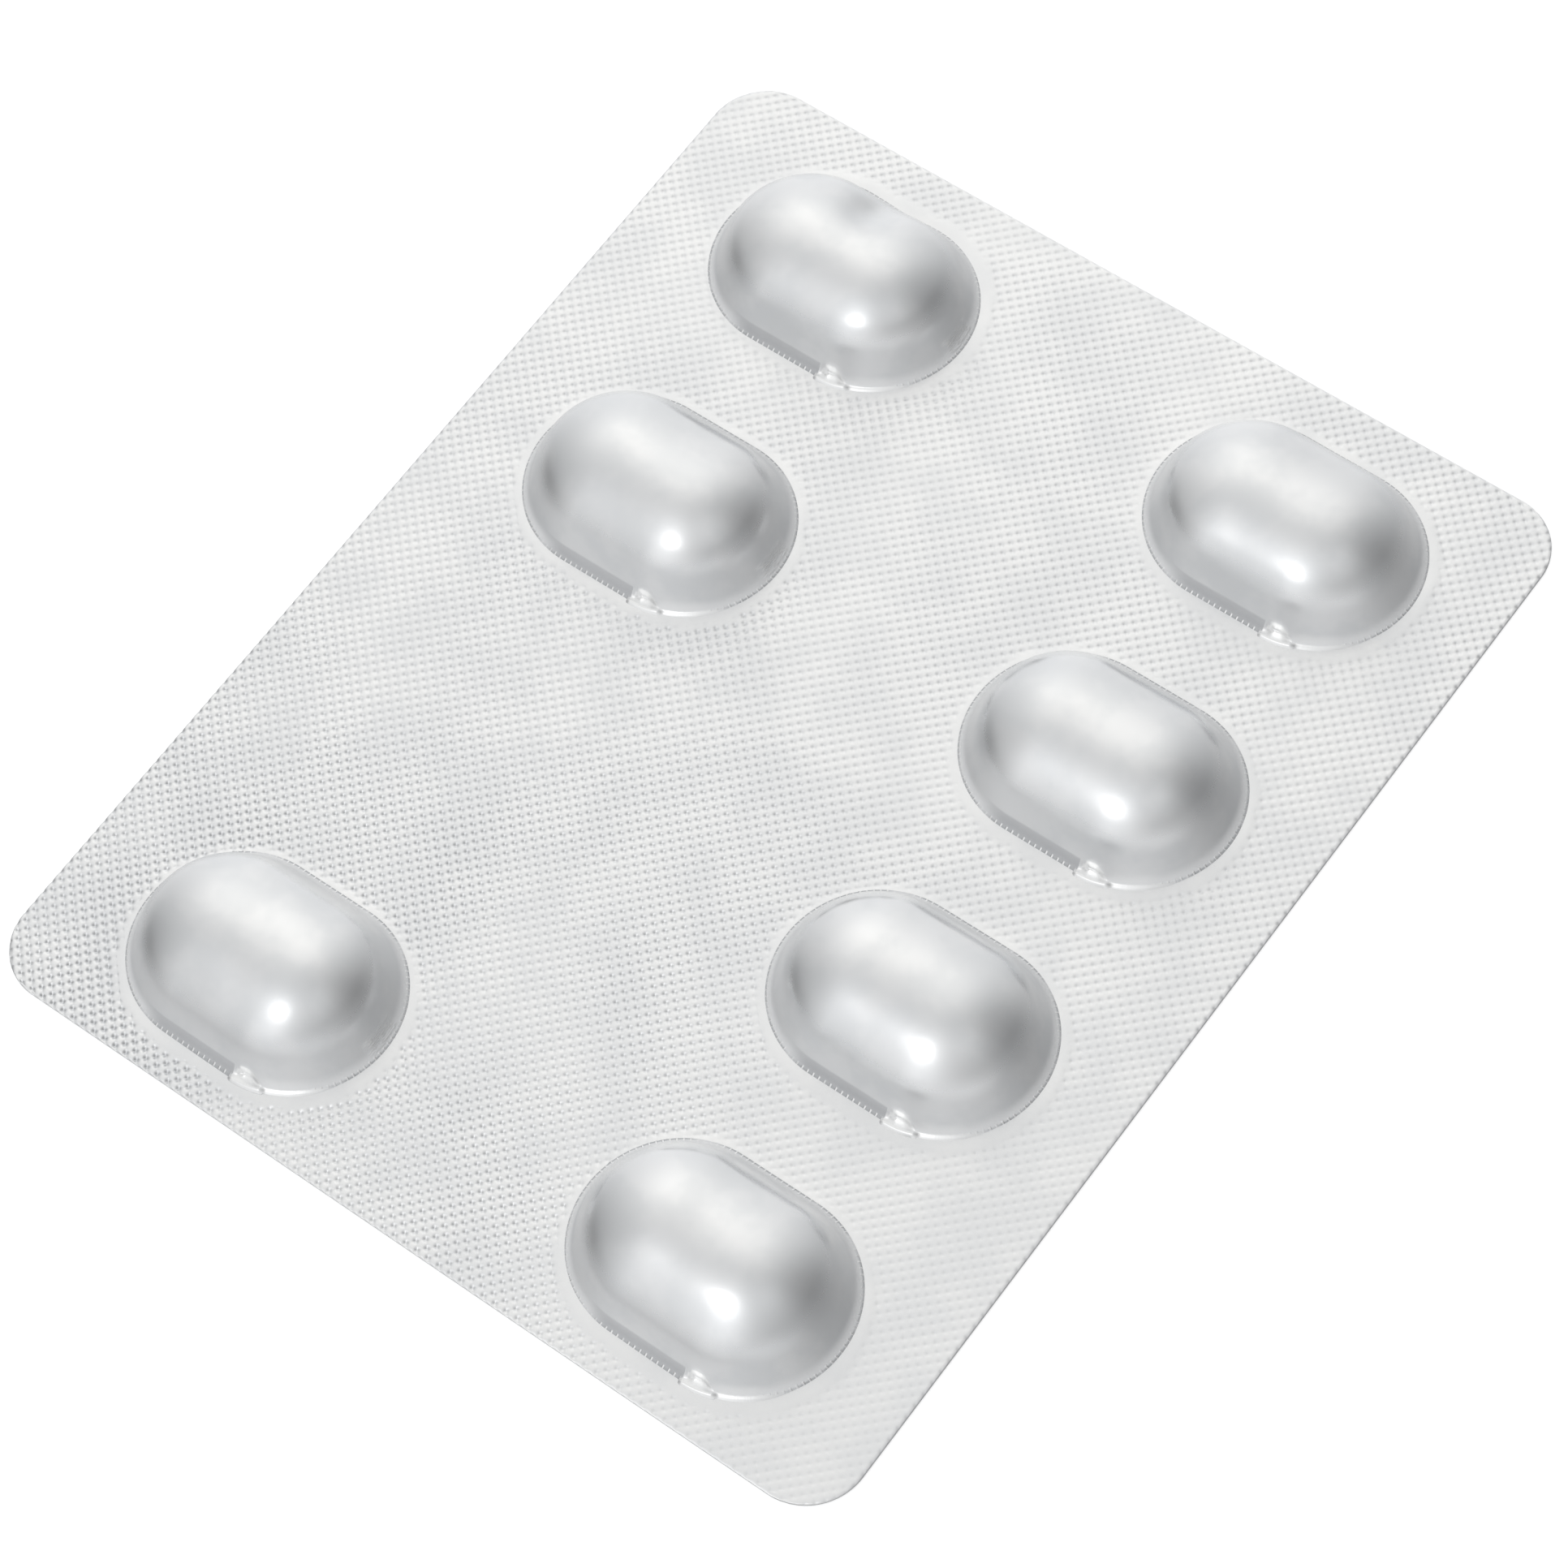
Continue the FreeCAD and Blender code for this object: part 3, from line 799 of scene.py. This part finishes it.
def makeCamera():
    data = bpy.data.cameras.new("camera")
    data.lens = view["lens"]
    data.sensor_width = 36
    data.clip_start = 0.01
    data.clip_end = 50
    made = bpy.data.objects.new("camera", data)
    bpy.context.scene.collection.objects.link(made)
    back = direction(view["azimuth"], view["elevation"])
    right = (-back).cross(Vector((0, 0, 1))).normalized()
    up = right.cross(-back)
    c = math.cos(math.radians(view["roll"]))
    s = math.sin(math.radians(view["roll"]))
    axes = Matrix((c * right + s * up, c * up - s * right, back)).transposed()
    place = (Vector(view["aim"]) + back * view["distance"]) * mm
    made.matrix_world = Matrix.Translation(place) @ axes.to_4x4()
    bpy.context.scene.camera = made


def makeWorld():
    # The studio is a level that rises overhead plus soft patches, each strength times e to the power
    # of tightness times (cosine of the angle from its middle, less one). The backdrop is plain white.
    world = bpy.data.worlds.new("studio")
    bpy.context.scene.world = world
    world.use_nodes = True
    tree = world.node_tree
    tree.nodes.clear()
    where = tree.nodes.new("ShaderNodeTexCoord").outputs["Generated"]
    split = tree.nodes.new("ShaderNodeSeparateXYZ")
    tree.links.new(where, split.inputs[0])
    total = eased(tree, split.outputs["Z"], room["begin"], 1, room["low"], room["low"] + room["rise"])
    warmth = None
    for azimuth, elevation, strength, tightness in lights.values():
        dot = vectorMaths(tree, "DOT_PRODUCT", where, tuple(direction(azimuth, elevation)))
        glow = maths(tree, "EXPONENT", maths(tree, "MULTIPLY", maths(tree, "SUBTRACT", dot, 1), tightness))
        total = maths(tree, "ADD", total, maths(tree, "MULTIPLY", glow, strength))
        if warmth is None:
            warmth = glow
    studio = tree.nodes.new("ShaderNodeBackground")
    tree.links.new(blendColour(tree, warmth, room["cool"], room["warm"]), studio.inputs["Color"])
    tree.links.new(total, studio.inputs["Strength"])
    plain = tree.nodes.new("ShaderNodeBackground")
    plain.inputs["Color"].default_value = (1, 1, 1, 1)
    mix = tree.nodes.new("ShaderNodeMixShader")
    tree.links.new(tree.nodes.new("ShaderNodeLightPath").outputs["Is Camera Ray"], mix.inputs[0])
    tree.links.new(studio.outputs[0], mix.inputs[1])
    tree.links.new(plain.outputs[0], mix.inputs[2])
    tree.links.new(mix.outputs[0], tree.nodes.new("ShaderNodeOutputWorld").inputs[0])


lamp = {
    "azimuth": -105,
    "elevation": 67.5,
    "distance": 0.9,        # metres, as its size, and its power is watts
    "size": 0.17,
    "power": 0.13,
}


def makeLamp():
    data = bpy.data.lights.new("spot", "AREA")
    data.shape = "DISK"
    data.size = lamp["size"]
    data.energy = lamp["power"]
    made = bpy.data.objects.new("spot", data)
    bpy.context.scene.collection.objects.link(made)
    toward = direction(lamp["azimuth"], lamp["elevation"])
    made.location = toward * lamp["distance"]
    made.rotation_mode = "QUATERNION"
    made.rotation_quaternion = toward.to_track_quat("Z", "Y")


paper = {
    "halfSide": 3000.0,
    "drop": 0.05,           # how far it lies under the card
    "colour": (0.9, 0.9, 0.9),
    "roughness": 0.9,
    "glow": 0.5,            # keeps it pale in the card's shadow
}


def makeFloor():
    side = paper["halfSide"]
    points = np.array([(-side, -side, 0), (side, -side, 0), (side, side, 0), (-side, side, 0)])
    floor = meshObject("floor", points, [[0, 1, 2, 3]])
    floor.location.z = -paper["drop"] * mm
    floor.visible_glossy = False
    material = bpy.data.materials.new("pale paper")
    material.use_nodes = True
    shader = material.node_tree.nodes["Principled BSDF"]
    shader.inputs["Base Color"].default_value = (*paper["colour"], 1)
    shader.inputs["Roughness"].default_value = paper["roughness"]
    shader.inputs["Emission Color"].default_value = (1, 1, 1, 1)
    shader.inputs["Emission Strength"].default_value = paper["glow"]
    floor.data.materials.append(material)


makeCamera()
makeWorld()
makeLamp()
makeFloor()
bpy.context.scene.view_settings.view_transform = "Standard"
print("camera, light and floor made")
